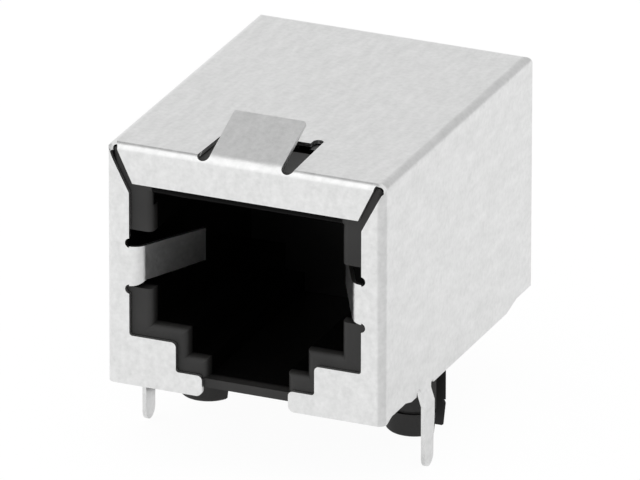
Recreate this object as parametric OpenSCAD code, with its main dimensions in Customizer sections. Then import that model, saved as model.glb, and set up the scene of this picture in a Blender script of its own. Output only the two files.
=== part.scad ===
// Shielded modular jack, six positions, side entry with the plug's tab down.
// Millimetres. The board lies in the plane Z = 0, the two locating pegs stand on the
// line Y = 0 either side of the origin, and a plug goes in towards +Y.

/* [Shield] */
// Width over the side walls
shield_w = 14.4; // [14:0.1:15.4]
// Height of the top panel above the board
shield_h = 12.35; // [12.25:0.05:13.4]
// Depth from the front face to the back
shield_d = 18.3; // [18:0.1:20]
// Thickness of the sheet
sheet_t = 0.2; // [0.16:0.01:0.24]
// Outer radius of the folded edges
bend_r = 0.4; // [0.32:0.01:0.45]
// Depth of the lip that is folded down over the mouth
lip_drop = 1.93; // [1.8:0.01:2]
// Width of the slots beside the lip, measured level
lip_slot_w = 0.51; // [0.4:0.01:0.55]
// Radius of the outward corners of the front flanges
corner_r = 0.24; // [0.1:0.02:0.3]

/* [Plug opening] */
// Width of the cavity for the plug body
plug_w = 9.8; // [9.7:0.05:10]
// Height of the cavity for the plug body
plug_h = 6.7; // [6.6:0.05:6.8]
// Height above the board of the ledge that carries the plug body
ledge_z = 3.2; // [3.1:0.05:3.3]
// Width of the step under the plug body
step_w = 6.2; // [6.1:0.05:6.4]
// Drop from the ledge to the bottom of the step
step_drop = 1.35; // [1.2:0.05:1.45]
// Width of the channel for the plug's tab
tab_w = 4.16; // [4.1:0.02:4.2]
// Depth of the cavity behind the housing's face
cavity_d = 11.8; // [11.5:0.1:12]
// Radius of the rounded lead-in round the mouth
lead_in = 0.34; // [0.2:0.02:0.4]

/* [Housing] */
// Gap between the housing and the shield
case_gap = 0.05; // [0.03:0.01:0.08]
// Height of the housing's underside above the board
underside_z = 0.42; // [0.35:0.01:0.5]
// Thickness of the floor under the tab channel
floor_t = 0.46; // [0.4:0.02:0.5]
// Length of the solid bar across the front of the roof
roof_bar = 2.75; // [2.5:0.05:3]

/* [Board pegs] */
// Distance between the two pegs
peg_pitch = 10.82; // [10.7:0.02:11]
// Distance of the pegs behind the shield's front face
peg_back = 8.05; // [7.8:0.05:8.3]
// Radius of the pegs
peg_r = 1.5; // [1.45:0.01:1.55]
// Length of the pegs below the board plane
peg_l = 3.38; // [3:0.02:3.6]
// Width of the slot that splits each peg
peg_slot = 1.2; // [1:0.02:1.22]

/* [Ground pins] */
// Width of a ground pin
ground_w = 1.21; // [0.9:0.01:1.3]
// Length of a ground pin below the board plane
ground_l = 3.96; // [3.8:0.02:4.3]
// Distance of the ground pins' centre behind the front face
ground_back = 5.21; // [5.1:0.01:5.6]
// How far the ground pins are set outwards below the board plane
ground_set = 0.19; // [0.1:0.01:0.25]

/* [Spring fingers] */
// Height of a side finger at its root
finger_h = 2.04; // [1.8:0.02:2.2]
// Height above the board of a side finger's lower edge
finger_z = 5.12; // [5:0.02:5.3]
// Length of the straight part of a side finger
finger_l = 3.7; // [3.3:0.1:3.9]
// Angle between a side finger and the plug's way in
finger_angle = 27.5; // [24:0.5:30]
// Width of the finger on top
crown_w = 3.72; // [3.4:0.02:3.9]
// Length of the straight part of the finger on top
crown_l = 3.04; // [2.7:0.02:3.2]
// Rise angle of the finger on top
crown_angle = 23; // [15:1:26]

/* [Contacts] */
// Distance between neighbouring contacts
pitch = 1.02; // [1:0.01:1.06]
// Width of a contact strip
contact_w = 0.46; // [0.4:0.01:0.5]
// Thickness of a contact strip
contact_t = 0.3; // [0.25:0.01:0.32]
// Length of the solder tails below the board plane
tail_l = 3.5; // [3.1:0.1:3.8]
// Distance between the two rows of tails
row_gap = 2.54; // [2.4:0.02:2.6]
// Slope of the free contact springs
spring_slope = 14; // [12:0.5:16]

/* [Hidden] */
$fn = 48;
contacts = 6;

// One overrun for every cut, and the play between fitted pieces
over = 1;
play = 0.05;

// Shield: places that follow the driving sizes
half_w = shield_w / 2;
inner_w = half_w - sheet_t;
lip_z = shield_h - lip_drop;
// Housing face that shows round the mouth, beside and below each step
rim_side = 1.12;
rim_ledge = 0.64;
rim_step_side = 0.5;
rim_step_z = 0.79;
rim_tab_side = 0.16;
mouth_half = plug_w / 2 + rim_side;
mouth_z = ledge_z - rim_ledge;
step_half = step_w / 2 + rim_step_side;
step_z = ledge_z - step_drop;
step_mouth_z = step_z - rim_step_z;
gate_half = tab_w / 2 + rim_tab_side;
// Slanted slots beside the lip: how far they lean outwards over the lip's depth
lip_lean = 0.8;
lip_shrink_share = 0.355;
lip_half = mouth_half - lip_shrink_share * lip_slot_w;
slot_foot_drop = 0.5;
slot_foot_z = lip_z - slot_foot_drop;
slot_end_r = 0.27;
slot_end_rise = 0.02;
// Bottom edge of the side walls
foot_lift = 0.2;
foot_rise = 0.6;
foot_front = 2.7;
foot_slope = 0.7;
heel_lift = 0.32;
heel_len = 1.8;
heel_slope = 1.3;
flap_gap = 0.1;
// Inward corners of the opening in the front
inner_corner_r = 0.15;
foot_corner_r = 0.32;
// Ground pin: round notches in the wall beside its root, and a rear edge that tapers
front_relief_r = 0.29;
rear_relief_r = 0.16;
ground_taper = 0.13;
taper_start = 1.5;
taper_end = 2.8;
set_start = 0.15;
set_end = 0.75;
// Side fingers
finger_bend_r = 0.76;
finger_taper = 0.09;
finger_trim_d = 0.45;
finger_trim_z = 0.26;
finger_relief_r = 0.24;
finger_relief_gap = 0.17;
finger_relief_out = 0.03;
// Finger on top, and the hole that it leaves
crown_offset = -0.07;
crown_slot = 0.64;
crown_slot_below = 0.1;
crown_bend_r = 1.06;
crown_bend_angle = 45;
crown_hole_half = crown_w / 2 + crown_slot;
crown_hole_taper = 0.1;
crown_clear = 0.28;
crown_hole_back = bend_r + crown_l + crown_clear;
crown_back_half = crown_hole_half - crown_hole_taper;
crown_ear_l = 0.3;
crown_ear_r = 0.26;
crown_tip_r = 0.12;

// Housing: places that follow the driving sizes
case_y0 = sheet_t + case_gap;
case_y1 = shield_d - sheet_t - case_gap;
case_half = inner_w - case_gap;
case_top = shield_h - sheet_t - case_gap;
case_r = bend_r - sheet_t + case_gap;
floor_z = underside_z + floor_t;
plug_top = ledge_z + plug_h;
cavity_y1 = case_y0 + cavity_d;
notch_below = 0.12;
notch_above = 0.8;
notch_out = 0.42;
notch_d = finger_bend_r + finger_l * cos(finger_angle) + play;
pad_half = 1.4;
pad_len = 2;
peg_collar = 0.3;
barb_z = 2;
barb_groove = 0.18;
peg_tip_share = 0.93;
peg_tip_r = peg_tip_share * peg_r;
peg_round = 0.08;

// Insert: a block behind the cavity, a comb below its tongue, and the tongue in the roof
tongue_side = 1;
tongue_half = (contacts - 1) / 2 * pitch + contact_w / 2 + tongue_side;
block_side = 0.25;
block_half = plug_w / 2 + block_side;
block_lid = 0.5;
block_top = plug_top + block_lid;
strip_cover = 0.4;
strip_z = case_top - strip_cover - contact_t;
nose_gap = 0.25;
strip_y0 = case_y0 + roof_bar + nose_gap;
turn_r = 0.7;
tongue_lift = 0.12;
tongue_z = plug_top + tongue_lift;
comb_l = 1.4;
comb_y0 = cavity_y1 - comb_l;
comb_h = 3;
comb_z = plug_top - comb_h;
tail_wall = 1.2;
tail_front = cavity_y1 + tail_wall;
spring_end_gap = 0.4;
spring_y0 = strip_y0 + contact_t + turn_r;
spring_l = (cavity_y1 - spring_end_gap - spring_y0) / cos(spring_slope);

// Moves a piece that is drawn from the shield's front face into the part's frame
module seat() {
    translate([0, -peg_back, 0]) children();
}

// Extrudes an outline in X and Z from y0 to y1
module along_y(y0, y1) {
    translate([0, y1, 0]) rotate([90, 0, 0]) linear_extrude(y1 - y0) children();
}

// Extrudes an outline in Y and Z from x0 to x1
module along_x(x0, x1) {
    translate([x0, 0, 0]) rotate([90, 0, 90]) linear_extrude(x1 - x0) children();
}

// Extrudes an outline in X and Y from z0 to z1
module along_z(z0, z1) {
    translate([0, 0, z0]) linear_extrude(z1 - z0) children();
}

// A box that is centred on X
module bar(half, y0, y1, z0, z1) {
    translate([-half, y0, z0]) cube([2 * half, y1 - y0, z1 - z0]);
}

module both_sides() {
    children();
    mirror([1, 0, 0]) children();
}

// A rectangle from x0 to x1 and 0 to h whose top corners are round
module arch(x0, x1, h, r) {
    translate([x0, 0]) square([x1 - x0, h - r]);
    translate([x0 + r, 0]) square([x1 - x0 - 2 * r, h]);
    translate([x0 + r, h - r]) circle(r);
    translate([x1 - r, h - r]) circle(r);
}

// A rectangle whose bottom corners are round
module slot_plate(half, z0, z1, r) {
    translate([0, z1]) mirror([0, 1]) arch(-half, half, z1 - z0, r);
}

// What a round of radius r takes off a convex corner at the origin, towards +x and +y
module corner_off(r) {
    difference() {
        translate([-over / 100, -over / 100]) square(r + over / 100);
        translate([r, r]) circle(r);
    }
}

// A solid box with the bends' outline: round along the top edges and the front uprights
module folded_form(inset, base) {
    r = bend_r - inset;
    x1 = half_w - inset;
    y1 = shield_d - inset;
    z1 = shield_h - inset;
    intersection() {
        along_y(inset, y1) translate([0, base]) arch(-x1, x1, z1 - base, r);
        along_x(-x1, x1) translate([0, base]) arch(inset, y1, z1 - base, r);
        along_z(base, z1) translate([0, y1]) mirror([0, 1]) arch(-x1, x1, y1 - inset, r);
    }
}

// The stepped opening in the front, and the slanted slots that free the lip above it
module mouth_outline() {
    slot_plate(mouth_half, mouth_z, lip_z, inner_corner_r);
    slot_plate(step_half, step_mouth_z, ledge_z, inner_corner_r);
    translate([-gate_half, -over]) square([2 * gate_half, ledge_z + over]);
    both_sides() {
        translate([step_half, mouth_z]) rotate(-90) corner_off(corner_r);
        translate([gate_half, step_mouth_z]) rotate(-90) corner_off(corner_r);
        translate([gate_half, 0]) corner_off(foot_corner_r);
        lip_slot();
    }
}

// A slot beside the lip ends in a larger round that opens the corner where the bends meet
module lip_slot() {
    top_z = shield_h + slot_end_rise - slot_end_r;
    polygon([[lip_half, lip_z], [lip_half + lip_lean, top_z],
             [lip_half + lip_lean + lip_slot_w, top_z],
             [mouth_half, slot_foot_z], [lip_half, slot_foot_z]]);
    translate([lip_half + lip_lean + lip_slot_w / 2, top_z]) circle(slot_end_r);
}

// The hole that the top finger leaves in the panel, with an ear at each rear corner
module crown_hole() {
    slot_x = crown_hole_half - crown_slot / 2;
    ear_x = crown_back_half - crown_ear_r;
    along_z(shield_h - bend_r, shield_h + over) {
        polygon([[-crown_hole_half, bend_r], [crown_hole_half, bend_r], [crown_back_half, crown_hole_back],
                 [-crown_back_half, crown_hole_back]]);
        both_sides() {
            translate([ear_x, crown_hole_back + crown_ear_l]) circle(crown_ear_r);
            translate([ear_x - crown_ear_r, crown_hole_back - crown_ear_l])
                square([2 * crown_ear_r, 2 * crown_ear_l]);
        }
    }
    at_crown_bend() translate([-slot_x, 0, 0]) cube([2 * slot_x, 2 * bend_r, 2 * bend_r]);
    crown_slots();
}

// The slots beside the top finger's root run over the front bend and end round
module crown_slots() {
    r = crown_slot / 2;
    at_crown_bend() both_sides() along_z(0, 2 * bend_r)
        translate([crown_hole_half - r, r - crown_slot_below]) {
            circle(r);
            translate([-r, 0]) square([2 * r, 2 * bend_r]);
        }
}

// The centre of the lip's bend, turned to where the top finger's own wider bend starts
module at_crown_bend() {
    translate([0, bend_r, shield_h - bend_r]) rotate([crown_bend_angle, 0, 0]) children();
}

// The finger on top leaves the lip's bend early, in a wider bend of its own, and rises
module crown_finger() {
    turn = crown_bend_angle - crown_angle;
    tip_l = crown_l - crown_tip_r;
    root_w = crown_w + crown_slot;
    difference() {
        at_crown_bend() translate([root_w / 2, 0, bend_r - crown_bend_r]) rotate([0, -90, 0])
            rotate_extrude(angle = turn) translate([crown_bend_r - sheet_t, 0]) square([sheet_t, root_w]);
        crown_slots();
    }
    at_crown_bend() translate([-crown_w / 2, 0, bend_r - crown_bend_r]) rotate([-turn, 0, 0])
        translate([0, 0, crown_bend_r - sheet_t]) {
            cube([crown_w, tip_l, sheet_t]);
            translate([crown_tip_r, 0, 0]) cube([crown_w - 2 * crown_tip_r, crown_l, sheet_t]);
            for (x = [crown_tip_r, crown_w - crown_tip_r])
                translate([x, tip_l, 0]) cylinder(r = crown_tip_r, h = sheet_t);
        }
}

// A side finger bends out of the front flange and runs into the mouth, a little narrower
module side_finger() {
    turn = 90 - finger_angle;
    x0 = mouth_half;
    difference() {
        translate([x0, finger_bend_r, finger_z]) {
            rotate([0, 0, 270 - turn]) rotate_extrude(angle = turn)
                translate([finger_bend_r - sheet_t, 0]) square([sheet_t, finger_h]);
            rotate([0, 0, 270 - turn]) translate([finger_bend_r - sheet_t, -finger_l, 0])
                cube([sheet_t, finger_l, finger_h]);
        }
        translate([0, 0, finger_z]) finger_trim(0, finger_trim_d, finger_trim_z);
        translate([0, 0, finger_z + finger_h]) mirror([0, 0, 1]) finger_trim(finger_bend_r, 2 * finger_bend_r, 0);
    }
}

// What is off one long edge of the side finger: up to z between y0 and y1, then a slow taper
module finger_trim(y0, y1, z) {
    run = finger_bend_r + finger_l;
    along_x(mouth_half - run, mouth_half + over)
        polygon([[y0, 0], [y1, z], [run, z + finger_taper], [run, -over], [y0, -over]]);
}

// The side walls' bottom edge: lifted near the front and at the heel, notched at the pin
module foot_outline() {
    heel = shield_d - heel_len;
    polygon([[bend_r, 0], [bend_r + foot_rise, foot_lift], [foot_front, foot_lift],
             [foot_front + foot_slope, 0], [foot_front + foot_slope, -over], [bend_r, -over]]);
    polygon([[heel - heel_slope, 0], [heel, heel_lift], [shield_d + over, heel_lift],
             [shield_d + over, -over], [heel - heel_slope, -over]]);
    translate([ground_back - ground_w / 2 - front_relief_r, 0]) circle(front_relief_r);
    translate([ground_back + ground_w / 2 + rear_relief_r, 0]) circle(rear_relief_r);
}

// A ground pin whose rear edge tapers towards a round tip
module ground_outline() {
    front = -ground_w / 2;
    rear = ground_w / 2;
    tip = (ground_w - ground_taper) / 2;
    polygon([[front, sheet_t], [rear, sheet_t], [rear, -taper_start], [rear - ground_taper, -taper_end],
             [rear - ground_taper, -ground_l + tip], [front, -ground_l + tip]]);
    translate([front + tip, -ground_l + tip]) circle(tip);
}

// Side view of a ground pin from the front: set outwards a little below the board plane
module ground_set_outline() {
    polygon([[inner_w, sheet_t], [inner_w, -set_start], [inner_w + ground_set, -set_end],
             [inner_w + ground_set, -ground_l - over], [half_w + ground_set, -ground_l - over],
             [half_w + ground_set, -set_end], [half_w, -set_start], [half_w, sheet_t]]);
}

module ground_pin() {
    intersection() {
        along_x(inner_w - over, half_w + over) translate([ground_back, 0]) ground_outline();
        along_y(0, shield_d) ground_set_outline();
    }
}

module shield() {
    color("gainsboro") seat() {
        difference() {
            folded_form(0, 0);
            folded_form(sheet_t, -over);
            along_y(-over, bend_r) mouth_outline();
            translate([crown_offset, 0, 0]) crown_hole();
            both_sides() {
                for (z = [finger_z - finger_relief_gap, finger_z + finger_h + finger_relief_gap])
                    translate([mouth_half - finger_relief_out, bend_r, z]) rotate([90, 0, 0])
                        cylinder(r = finger_relief_r, h = bend_r + over);
                flap_slit();
            }
            along_x(-half_w - over, half_w + over) foot_outline();
        }
        translate([crown_offset, 0, 0]) crown_finger();
        both_sides() {
            side_finger();
            ground_pin();
        }
    }
}

// The rear flap hangs from the top panel between the side walls
module flap_slit() {
    z1 = shield_h - bend_r - flap_gap;
    translate([inner_w - flap_gap, shield_d - sheet_t - over, -over])
        cube([flap_gap, sheet_t + 2 * over, z1 + over]);
    translate([inner_w - flap_gap / 2, shield_d + over, z1]) rotate([90, 0, 0])
        cylinder(r = flap_gap, h = sheet_t + 2 * over);
}

// A rounded lead-in at the housing's face, round a box of half width half and from z0 to z1
module lead_in_round(half, z0, z1) {
    r = lead_in;
    intersection() {
        along_z(z0 - r, z1 + r) difference() {
            translate([-half - r, case_y0 - over]) square([2 * (half + r), r + over]);
            for (side = [-1, 1]) translate([side * (half + r), case_y0 + r]) circle(r);
        }
        along_x(-half - r, half + r) difference() {
            translate([case_y0 - over, z0 - r]) square([r + over, z1 - z0 + 2 * r]);
            for (z = [z0 - r, z1 + r]) translate([case_y0 + r, z]) circle(r);
        }
    }
}

// The stepped cavity that takes the plug: body, step and tab channel
module plug_cavity() {
    bar(plug_w / 2, case_y0 - over, cavity_y1, ledge_z, plug_top);
    bar(step_w / 2, case_y0 - over, cavity_y1, step_z, plug_top);
    bar(tab_w / 2, case_y0 - over, cavity_y1, floor_z, plug_top);
    lead_in_round(plug_w / 2, ledge_z, plug_top);
    lead_in_round(step_w / 2, step_z, plug_top);
    intersection() {
        lead_in_round(tab_w / 2, floor_z, plug_top);
        bar(plug_w, case_y0 - over, case_y1, floor_z, plug_top);
    }
}

// Room in the side walls of the mouth for the side fingers
module finger_notches() {
    z0 = finger_z - notch_below;
    z1 = finger_z + finger_h + notch_above;
    bar(mouth_half + notch_out, case_y0 - over, case_y0 + notch_d, z0, z1);
}

// The outer form of the housing, with edges that clear the shield's bends
module case_form() {
    intersection() {
        along_y(case_y0, case_y1) translate([0, underside_z])
            arch(-case_half, case_half, case_top - underside_z, case_r);
        along_x(-case_half, case_half) translate([0, underside_z])
            arch(case_y0, case_y1, case_top - underside_z, case_r);
        along_z(underside_z, case_top) translate([0, case_y1]) mirror([0, 1])
            arch(-case_half, case_half, case_y1 - case_y0, case_r);
    }
}

// A peg below the board plane: a shank, a groove under it, and a tapered head with a round tip
module peg() {
    head_z = -barb_z - barb_groove;
    tip_z = -peg_l + peg_round;
    translate([0, 0, -barb_z]) cylinder(r = peg_r, h = barb_z);
    translate([0, 0, head_z]) cylinder(r = peg_r - barb_groove, h = barb_groove);
    translate([0, 0, tip_z]) cylinder(r1 = peg_tip_r, r2 = peg_r, h = head_z - tip_z);
    translate([0, 0, -peg_l]) cylinder(r1 = peg_tip_r - peg_round, r2 = peg_tip_r, h = peg_round);
}

// Both pegs stand on round collars, which stop at the inside of the shield's walls
module pegs() {
    both_sides() translate([peg_pitch / 2, peg_back, 0]) peg();
    intersection() {
        both_sides() translate([peg_pitch / 2, peg_back, 0])
            cylinder(r = peg_r + peg_collar, h = underside_z + floor_t / 2);
        bar(case_half, case_y0, case_y1, 0, underside_z + floor_t / 2);
    }
}

// The slot that splits both pegs runs along X, so that each has a front and a rear leg
module peg_slots() {
    both_sides() translate([peg_pitch / 2 - peg_r - over / 2, peg_back - peg_slot / 2, -peg_l - over])
        cube([2 * peg_r + over, peg_slot, peg_l + over]);
}

module housing() {
    color("#2a2a2c") seat() difference() {
        union() {
            case_form();
            pegs();
            bar(pad_half, peg_back - pad_len / 2, peg_back + pad_len / 2, 0, underside_z);
        }
        plug_cavity();
        finger_notches();
        peg_slots();
        // Slot in the roof for the insert's tongue
        bar(tongue_half + play, case_y0 + roof_bar, case_y1 + over, plug_top - over, case_top + over);
        // Chamber behind the cavity, open to the back and to the board
        bar(block_half + play, cavity_y1, case_y1 + over, -over, block_top + play);
    }
}

// Places of a contact: its centre in X, and the front face of its tail
function contact_x(n) = (n - (contacts + 1) / 2) * pitch;
function tail_y(n) = tail_front + (n % 2) * row_gap;

// A strip along +x that bends in its own plane: rows of [straight length, turn, inside radius]
module strip(path, t, w, i = 0) {
    if (i < len(path)) {
        run = path[i][0];
        turn = path[i][1];
        r = path[i][2];
        cube([run, t, w]);
        translate([run, t + r, 0]) {
            if (turn > 0) rotate([0, 0, -90]) rotate_extrude(angle = turn) translate([r, 0]) square([t, w]);
            rotate([0, 0, turn]) translate([0, -t - r, 0]) strip(path, t, w, i + 1);
        }
    }
}

// One contact: tail up through the insert, forward in the tongue, round its nose, and back
// down into the cavity as a free spring. The same form, grown a little, is its room.
module contact_form(n, grow) {
    rise = tail_l + strip_z - turn_r;
    reach = tail_y(n) - turn_r - spring_y0;
    r = turn_r - grow;
    translate([contact_x(n) - contact_w / 2 - grow, tail_y(n) + contact_t + grow, -tail_l])
        rotate([180, -90, 0])
            strip([[rise, 90, r], [reach, 180 - spring_slope, r],
                   [spring_l, 0, r]], contact_t + 2 * grow, contact_w + 2 * grow);
}

module contact(n) {
    color("gold") seat() contact_form(n, 0);
}

// Room in the insert for one contact, open upwards along the tongue and backwards at the tail
module contact_room(n) {
    w = contact_w + 2 * play;
    x0 = contact_x(n) - w / 2;
    tail_mid = tail_y(n) + contact_t / 2;
    contact_form(n, play);
    translate([x0, strip_y0, strip_z + contact_t / 2]) cube([w, case_y1, case_top]);
    translate([x0, tail_mid, -over]) cube([w, case_y1, case_top + 2 * over]);
    translate([x0, comb_y0 - over, comb_z - over])
        cube([w, comb_l + over, comb_h + over + tongue_lift]);
}

// The insulating insert carries all the contacts and slides in from the back
module contact_insert() {
    color("#38383c") seat() difference() {
        intersection() {
            case_form();
            union() {
                bar(block_half, cavity_y1 + play, case_y1, underside_z, block_top);
                bar(tongue_half, spring_y0 - turn_r, case_y1, tongue_z, case_top);
                bar(tongue_half, comb_y0, cavity_y1 + play, comb_z, tongue_z);
                bar(plug_w / 2 - play, comb_y0, cavity_y1 + play, comb_z, plug_top - play);
            }
        }
        for (n = [1 : contacts]) contact_room(n);
    }
}

shield();
housing();
contact_insert();
contact(1);  // contact_1
contact(2);  // contact_2
contact(3);  // contact_3
contact(4);  // contact_4
contact(5);  // contact_5
contact(6);  // contact_6
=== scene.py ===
import math

import bmesh
import bpy
from mathutils import Matrix, Vector


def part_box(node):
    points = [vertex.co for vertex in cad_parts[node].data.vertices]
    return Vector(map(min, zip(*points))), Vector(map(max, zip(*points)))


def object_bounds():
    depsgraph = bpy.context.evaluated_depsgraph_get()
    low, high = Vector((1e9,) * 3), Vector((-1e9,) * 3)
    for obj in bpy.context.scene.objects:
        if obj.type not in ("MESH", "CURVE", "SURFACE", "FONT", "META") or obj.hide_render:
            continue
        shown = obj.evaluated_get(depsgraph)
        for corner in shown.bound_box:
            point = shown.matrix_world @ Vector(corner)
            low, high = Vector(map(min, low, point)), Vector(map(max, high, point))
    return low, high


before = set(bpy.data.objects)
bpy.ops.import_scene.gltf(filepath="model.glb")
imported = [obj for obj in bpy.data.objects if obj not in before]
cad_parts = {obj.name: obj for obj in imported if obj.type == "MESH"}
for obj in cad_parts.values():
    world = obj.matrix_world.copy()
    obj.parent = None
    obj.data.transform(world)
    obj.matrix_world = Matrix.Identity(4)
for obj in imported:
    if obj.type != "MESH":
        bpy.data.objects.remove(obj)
cad_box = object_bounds()


# Housing: one black moulding with the plug's stepped cavity, the floor and the two split pegs.
# It is glass-filled polyester. The mould is spark-eroded outside, which leaves a fine pale grain
# on the faces and round the mouth. Inside the cavity and on the roof bar the plastic is smoother,
# and its colour and gloss are painted shade there: near black, with little reflection.
def new_material(name, base, roughness, metallic=0.0):
    """A material with a Principled shader; returns it with its node tree and its shader."""
    material = bpy.data.materials.new(name)
    material.use_nodes = True
    tree = material.node_tree
    shader = tree.nodes["Principled BSDF"]
    shader.inputs["Base Color"].default_value = (*base, 1.0)
    shader.inputs["Roughness"].default_value = roughness
    shader.inputs["Metallic"].default_value = metallic
    return material, tree, shader


def add_node(tree, kind, **settings):
    """A node with its properties set by name, and its inputs by the rest of the names."""
    made = tree.nodes.new(kind)
    for key, value in settings.items():
        if hasattr(made, key):
            setattr(made, key, value)
        else:
            made.inputs[key.replace("_", " ")].default_value = value
    return made


def feed(tree, socket, value):
    """Links a socket to another node's output, or sets a plain value on it."""
    if isinstance(value, bpy.types.NodeSocket):
        tree.links.new(value, socket)
    else:
        socket.default_value = value


def math_of(tree, operation, *values):
    """A Math node over outputs of other nodes and plain numbers; returns its result."""
    made = add_node(tree, "ShaderNodeMath", operation=operation)
    for socket, value in zip(made.inputs, values):
        feed(tree, socket, value)
    return made.outputs["Value"]


def colour_between(tree, factor, first, second):
    """Goes from the first colour to the second with the factor; returns the colour's output."""
    made = add_node(tree, "ShaderNodeMix", data_type="RGBA")
    feed(tree, made.inputs[0], factor)
    feed(tree, made.inputs[6], first)
    feed(tree, made.inputs[7], second)
    return made.outputs[2]


def ramp_along(tree, value, start, end):
    """Runs from 0 at start to 1 at end, along one coordinate in metres."""
    ramp = add_node(tree, "ShaderNodeMapRange", interpolation_type="SMOOTHSTEP",
                    From_Min=start, From_Max=end)
    feed(tree, ramp.inputs["Value"], value)
    return ramp.outputs["Result"]


def number_between(tree, factor, first, second):
    """Goes from the first number to the second with the factor; returns the number's output."""
    span = add_node(tree, "ShaderNodeMapRange", To_Min=first, To_Max=second)
    feed(tree, span.inputs["Value"], factor)
    return span.outputs["Result"]


def mould_grain_group():
    """Eroded grain of a mould: a normal for the surface, and a slow cloud from 0 to 1."""
    group = bpy.data.node_groups.new("mould_grain", "ShaderNodeTree")
    for name, usual in (("Grain Scale", 9000.0), ("Grain Height", 0.002), ("Cloud Scale", 400.0)):
        socket = group.interface.new_socket(name, in_out="INPUT", socket_type="NodeSocketFloat")
        socket.default_value = usual
    group.interface.new_socket("Normal", in_out="OUTPUT", socket_type="NodeSocketVector")
    group.interface.new_socket("Cloud", in_out="OUTPUT", socket_type="NodeSocketFloat")
    entry = group.nodes.new("NodeGroupInput")
    leave = group.nodes.new("NodeGroupOutput")
    place = add_node(group, "ShaderNodeTexCoord")
    grain = add_node(group, "ShaderNodeTexNoise", Detail=3.0, Roughness=0.65)
    bump = add_node(group, "ShaderNodeBump", Distance=0.00001)
    cloud = add_node(group, "ShaderNodeTexNoise", Detail=2.0, Roughness=0.5)
    links = group.links
    links.new(place.outputs["Object"], grain.inputs["Vector"])
    links.new(place.outputs["Object"], cloud.inputs["Vector"])
    links.new(entry.outputs["Grain Scale"], grain.inputs["Scale"])
    links.new(entry.outputs["Cloud Scale"], cloud.inputs["Scale"])
    links.new(entry.outputs["Grain Height"], bump.inputs["Strength"])
    links.new(grain.outputs["Fac"], bump.inputs["Height"])
    links.new(bump.outputs["Normal"], leave.inputs["Normal"])
    links.new(cloud.outputs["Fac"], leave.inputs["Cloud"])
    return group


MOULD_GRAIN = mould_grain_group()


def mould_grain(tree, shader, grain_scale, grain_height, dark, pale):
    """Puts the grain on a shader, and lets its colour drift from dark to pale; returns that colour."""
    grain = add_node(tree, "ShaderNodeGroup", node_tree=MOULD_GRAIN)
    grain.inputs["Grain Scale"].default_value = grain_scale
    grain.inputs["Grain Height"].default_value = grain_height
    drift = colour_between(tree, grain.outputs["Cloud"], (*dark, 1.0), (*pale, 1.0))
    tree.links.new(drift, shader.inputs["Base Color"])
    tree.links.new(grain.outputs["Normal"], shader.inputs["Normal"])
    return drift


def wear(node_name, material):
    """Gives a CAD node its finish."""
    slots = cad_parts[node_name].data.materials
    slots.clear()
    slots.append(material)


MM = 0.001
MOUTH_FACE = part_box("housing")[0][1]
# The painted shade in the cavity begins a little past the mouth and is full a little deeper.
CAVITY_SHADE_FROM = MOUTH_FACE + 0.42 * MM
CAVITY_SHADE_FULL = MOUTH_FACE + 0.72 * MM
CAVITY_FLOOR = 0.9 * MM
CAVITY_ROOF = 11.3 * MM
CAVITY_HALF = 4.95 * MM
ROOF_BAR = 9.4 * MM
FADE = 0.1 * MM
ERODED_ROUGHNESS = 0.55
CAVITY_ROUGHNESS = 0.22
ERODED_GLOSS = 0.5
CAVITY_SHADE_GLOSS = 0.06
CAVITY_SHADE_BLACK = (0.0015, 0.0015, 0.0015, 1.0)

housing_black, housing_tree, housing_shader = new_material(
    "housing_black", (0.012, 0.012, 0.012), ERODED_ROUGHNESS)
eroded_black = mould_grain(housing_tree, housing_shader, grain_scale=5000.0, grain_height=1.0,
                           dark=(0.005, 0.005, 0.005), pale=(0.030, 0.029, 0.028))
housing_place = add_node(housing_tree, "ShaderNodeTexCoord")
housing_split = add_node(housing_tree, "ShaderNodeSeparateXYZ")
housing_tree.links.new(housing_place.outputs["Object"], housing_split.inputs[0])
along_x, along_y, along_z = (housing_split.outputs[axis] for axis in "XYZ")
past_mouth = ramp_along(housing_tree, along_y, CAVITY_SHADE_FROM, CAVITY_SHADE_FULL)
above_floor = ramp_along(housing_tree, along_z, CAVITY_FLOOR - FADE, CAVITY_FLOOR)
below_roof = ramp_along(housing_tree, along_z, CAVITY_ROOF + FADE, CAVITY_ROOF)
off_middle = math_of(housing_tree, "ABSOLUTE", along_x)
in_width = ramp_along(housing_tree, off_middle, CAVITY_HALF + FADE / 2, CAVITY_HALF - FADE / 2)
at_roof = ramp_along(housing_tree, along_z, ROOF_BAR - 2 * FADE, ROOF_BAR)
on_roof_bar = math_of(housing_tree, "MULTIPLY", in_width, at_roof)
cavity_or_roof_bar = math_of(housing_tree, "MAXIMUM", on_roof_bar, past_mouth)
in_height = math_of(housing_tree, "MULTIPLY", above_floor, below_roof)
cavity_shade = math_of(housing_tree, "MULTIPLY", in_height, cavity_or_roof_bar)
# Painted shade: in the cavity and on the roof bar's face the colour turns near black and the gloss
# weak; the roughness is lowered there too.
for input_name, finish in (
    ("Base Color", colour_between(housing_tree, cavity_shade, eroded_black, CAVITY_SHADE_BLACK)),
    ("Roughness", number_between(housing_tree, cavity_shade, ERODED_ROUGHNESS, CAVITY_ROUGHNESS)),
    ("Specular IOR Level", number_between(housing_tree, cavity_shade, ERODED_GLOSS, CAVITY_SHADE_GLOSS)),
):
    housing_tree.links.new(finish, housing_shader.inputs[input_name])
wear("housing", housing_black)


# Contact insert: a second black moulding, snapped in from the back, that holds the springs
# in grooves. It comes from a smoother mould than the housing, and its colour is painted far darker
# than the housing's, as painted shade deep in the cavity and under the top hole.
insert_black, insert_tree, insert_shader = new_material("insert_black", (0.002, 0.002, 0.002), 0.3)
mould_grain(insert_tree, insert_shader, grain_scale=12000.0, grain_height=0.15,
            dark=(0.001, 0.001, 0.001), pale=(0.003, 0.003, 0.003))
wear("contact_insert", insert_black)


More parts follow.
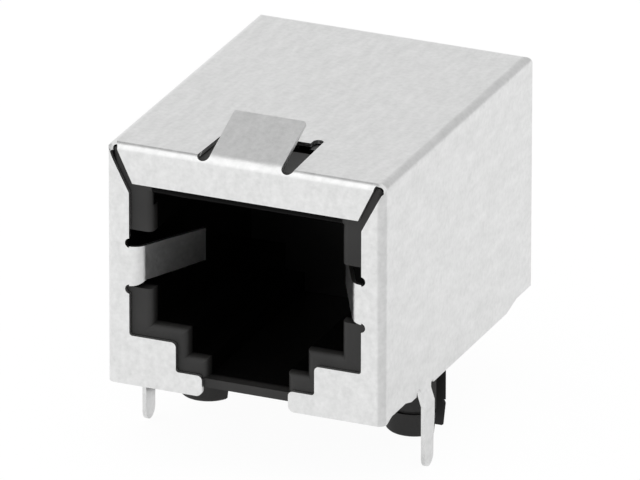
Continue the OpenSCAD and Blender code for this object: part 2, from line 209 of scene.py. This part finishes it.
# Contacts: six strips of spring bronze, plated with gold where they touch the plug. They
# are blanked and folded in a comb, so the plating is smooth with faint drawing lines.
contact_gold, gold_tree, gold_shader = new_material("contact_gold", (0.83, 0.62, 0.28), 0.24, 1.0)
gold_place = add_node(gold_tree, "ShaderNodeTexCoord")
gold_stretch = add_node(gold_tree, "ShaderNodeMapping", Scale=(1.0, 0.05, 0.05))
gold_lines = add_node(gold_tree, "ShaderNodeTexNoise", Scale=3000.0, Detail=2.0)
gold_bump = add_node(gold_tree, "ShaderNodeBump", Strength=0.2, Distance=0.00001)
gold_links = gold_tree.links
gold_links.new(gold_place.outputs["Object"], gold_stretch.inputs["Vector"])
gold_links.new(gold_stretch.outputs["Vector"], gold_lines.inputs["Vector"])
gold_links.new(gold_lines.outputs["Fac"], gold_bump.inputs["Height"])
gold_links.new(gold_bump.outputs["Normal"], gold_shader.inputs["Normal"])
for number in range(1, 7):
    wear(f"contact_{number}", contact_gold)


# Shield: one sheet of copper alloy, plated with tin over nickel, blanked and folded over the
# housing. The plating is satin and finely mottled, with short rolling marks that run aslant.
ROLLING_TURN = math.radians(-32.0)
ROLLING_STRETCH = (1.0, 0.28, 0.6)
MOTTLE_DARK = (0.64, 0.645, 0.64, 1.0)
MOTTLE_PALE = (1.0, 1.0, 1.0, 1.0)

plated_sheet, sheet_tree, sheet_shader = new_material("plated_sheet", (0.86, 0.86, 0.85), 0.29, 1.0)
sheet_place = add_node(sheet_tree, "ShaderNodeTexCoord")
sheet_turn = add_node(sheet_tree, "ShaderNodeMapping",
                      Rotation=(0.0, 0.0, ROLLING_TURN), Scale=ROLLING_STRETCH)
sheet_marks = add_node(sheet_tree, "ShaderNodeTexNoise", Scale=2600.0, Detail=2.0, Roughness=0.55)
sheet_grain = add_node(sheet_tree, "ShaderNodeTexNoise", Scale=4200.0, Detail=2.0, Roughness=0.55)
sheet_mottle = add_node(sheet_tree, "ShaderNodeMix", data_type="FLOAT")
sheet_mottle.inputs[0].default_value = 0.5
sheet_colour = colour_between(sheet_tree, sheet_mottle.outputs[0], MOTTLE_DARK, MOTTLE_PALE)
sheet_bump = add_node(sheet_tree, "ShaderNodeBump", Strength=0.8, Distance=0.00002)
sheet_links = sheet_tree.links
sheet_links.new(sheet_place.outputs["Object"], sheet_turn.inputs["Vector"])
sheet_links.new(sheet_turn.outputs["Vector"], sheet_marks.inputs["Vector"])
sheet_links.new(sheet_place.outputs["Object"], sheet_grain.inputs["Vector"])
sheet_links.new(sheet_marks.outputs["Fac"], sheet_mottle.inputs[2])
sheet_links.new(sheet_grain.outputs["Fac"], sheet_mottle.inputs[3])
sheet_links.new(sheet_mottle.outputs[0], sheet_bump.inputs["Height"])
sheet_links.new(sheet_colour, sheet_shader.inputs["Base Color"])
sheet_links.new(sheet_bump.outputs["Normal"], sheet_shader.inputs["Normal"])
wear("shield", plated_sheet)


# Studio: a white table under the pins in a pale room, as in a light tent. The camera sees both
# as plain white with a trace of shadow, and the bare metal reflects where they are darker.
TARGET = Vector((0.42, 0.05, 5.47)) * MM
AZIMUTH = math.radians(23.21)
ELEVATION = math.radians(22.57)
ROLL = math.radians(0.08)
DISTANCE = 714.8 * MM
SENSOR_WIDTH = 36.0
FOCAL_LENGTH = 836.9

back = Vector((math.sin(AZIMUTH) * math.cos(ELEVATION),
               -math.cos(AZIMUTH) * math.cos(ELEVATION),
               math.sin(ELEVATION)))
roll_turn = Matrix.Rotation(ROLL, 3, "Z").to_quaternion()
camera_data = bpy.data.cameras.new("camera")
camera_data.sensor_width = SENSOR_WIDTH
camera_data.lens = FOCAL_LENGTH
camera_data.clip_start = 0.05
camera_data.clip_end = 20.0
camera = bpy.data.objects.new("camera", camera_data)
camera.rotation_mode = "QUATERNION"
camera.location = TARGET + back * DISTANCE
camera.rotation_quaternion = (-back).to_track_quat("-Z", "Y") @ roll_turn
bpy.context.scene.collection.objects.link(camera)
bpy.context.scene.camera = camera


def soft_patch(tree, vector, before, toward, inner, outer, amount):
    """Adds a soft round patch of light, or of dark, that lies in a direction; angles in degrees."""
    aim = add_node(tree, "ShaderNodeVectorMath", operation="DOT_PRODUCT")
    aim.inputs[1].default_value = Vector(toward).normalized()
    ease = add_node(tree, "ShaderNodeMapRange", interpolation_type="SMOOTHSTEP",
                    From_Min=math.cos(math.radians(outer)), From_Max=math.cos(math.radians(inner)),
                    To_Min=0.0, To_Max=amount)
    tree.links.new(vector, aim.inputs[0])
    tree.links.new(aim.outputs["Value"], ease.inputs["Value"])
    return math_of(tree, "ADD", ease.outputs["Result"], before)


# The table glows a little, so that it stays white to the camera. To the metal it is darker
# beyond the right front corner, which the upright bend reflects, and behind the right side.
TABLE_HALF = 2.0
TABLE_TOP = cad_box[0].z - 0.02 * MM
BEND_FOOT = Vector((cad_box[1].x, cad_box[0].y, TABLE_TOP))
TABLE_PAINT = (0.84, 0.84, 0.84)
TABLE_LEVEL = 1.11
TABLE_SEEN_LEVEL = 1.02
TABLE_PATCHES = (
    ((0.92, -0.40, 0.0), 48.0, 86.0, -0.41),
    ((0.39, 0.92, 0.0), 10.0, 76.0, -0.07),
)
GLOW_SEEN_SHARE = 0.94
GLOW_MIRRORED_SHARE = 0.52

table_mesh = bpy.data.meshes.new("table")
table_form = bmesh.new()
bmesh.ops.create_grid(table_form, x_segments=1, y_segments=1, size=TABLE_HALF,
                      matrix=Matrix.Translation((0.0, 0.0, TABLE_TOP)))
table_form.to_mesh(table_mesh)
table_form.free()
table = bpy.data.objects.new("table", table_mesh)
bpy.context.scene.collection.objects.link(table)
table_white, table_tree, table_shader = new_material("table_white", TABLE_PAINT, 0.8)
table_path = add_node(table_tree, "ShaderNodeLightPath")
table_place = add_node(table_tree, "ShaderNodeTexCoord")
table_aim = add_node(table_tree, "ShaderNodeVectorMath", operation="SUBTRACT")
table_aim.inputs[1].default_value = BEND_FOOT
table_unit = add_node(table_tree, "ShaderNodeVectorMath", operation="NORMALIZE")
table_seen = add_node(table_tree, "ShaderNodeMix", data_type="FLOAT")
table_seen.inputs[3].default_value = TABLE_SEEN_LEVEL
table_glow = add_node(table_tree, "ShaderNodeEmission")
table_mix = add_node(table_tree, "ShaderNodeMixShader")
table_links = table_tree.links
table_links.new(table_place.outputs["Object"], table_aim.inputs[0])
table_links.new(table_aim.outputs["Vector"], table_unit.inputs[0])
table_light = TABLE_LEVEL
for patch in TABLE_PATCHES:
    table_light = soft_patch(table_tree, table_unit.outputs["Vector"], table_light, *patch)
seen_ray = table_path.outputs["Is Camera Ray"]
mirrored_share = math_of(table_tree, "MULTIPLY", table_path.outputs["Is Glossy Ray"],
                         GLOW_MIRRORED_SHARE)
glow_share = math_of(table_tree, "MULTIPLY_ADD", seen_ray, GLOW_SEEN_SHARE, mirrored_share)
table_links.new(seen_ray, table_seen.inputs[0])
table_links.new(table_light, table_seen.inputs[2])
table_links.new(table_seen.outputs[0], table_glow.inputs["Strength"])
table_links.new(glow_share, table_mix.inputs[0])
table_links.new(table_shader.outputs[0], table_mix.inputs[1])
table_links.new(table_glow.outputs[0], table_mix.inputs[2])
table_links.new(table_mix.outputs[0], table_tree.nodes["Material Output"].inputs["Surface"])
table_mesh.materials.append(table_white)


# The room is even, with a pale lamp high on the left that lights the bend over the mouth. It is
# darker above the back, which the top finger reflects, and low behind, which the top edge does.
WHITE = (1.0, 1.0, 1.0, 1.0)
ROOM_LEVEL = 0.885
ROOM_PATCHES = (
    ((-0.37, -0.34, 0.86), 30.0, 64.0, 0.30),
    ((-0.36, 0.42, 0.84), 10.0, 30.0, -0.60),
    ((0.42, 0.84, 0.34), 18.0, 52.0, -0.25),
)

room = bpy.data.worlds.new("room")
room.use_nodes = True
bpy.context.scene.world = room
room_tree = room.node_tree
room_place = add_node(room_tree, "ShaderNodeTexCoord")
room_path = add_node(room_tree, "ShaderNodeLightPath")
room_light = room_tree.nodes["Background"]
room_light.inputs["Color"].default_value = WHITE
room_white = add_node(room_tree, "ShaderNodeBackground", Color=WHITE, Strength=1.0)
room_mix = add_node(room_tree, "ShaderNodeMixShader")
room_level = ROOM_LEVEL
for patch in ROOM_PATCHES:
    room_level = soft_patch(room_tree, room_place.outputs["Generated"], room_level, *patch)
room_links = room_tree.links
room_links.new(room_level, room_light.inputs["Strength"])
room_links.new(room_path.outputs["Is Camera Ray"], room_mix.inputs[0])
room_links.new(room_light.outputs[0], room_mix.inputs[1])
room_links.new(room_white.outputs[0], room_mix.inputs[2])
room_links.new(room_mix.outputs[0], room_tree.nodes["World Output"].inputs["Surface"])

bpy.context.scene.view_settings.view_transform = "Standard"
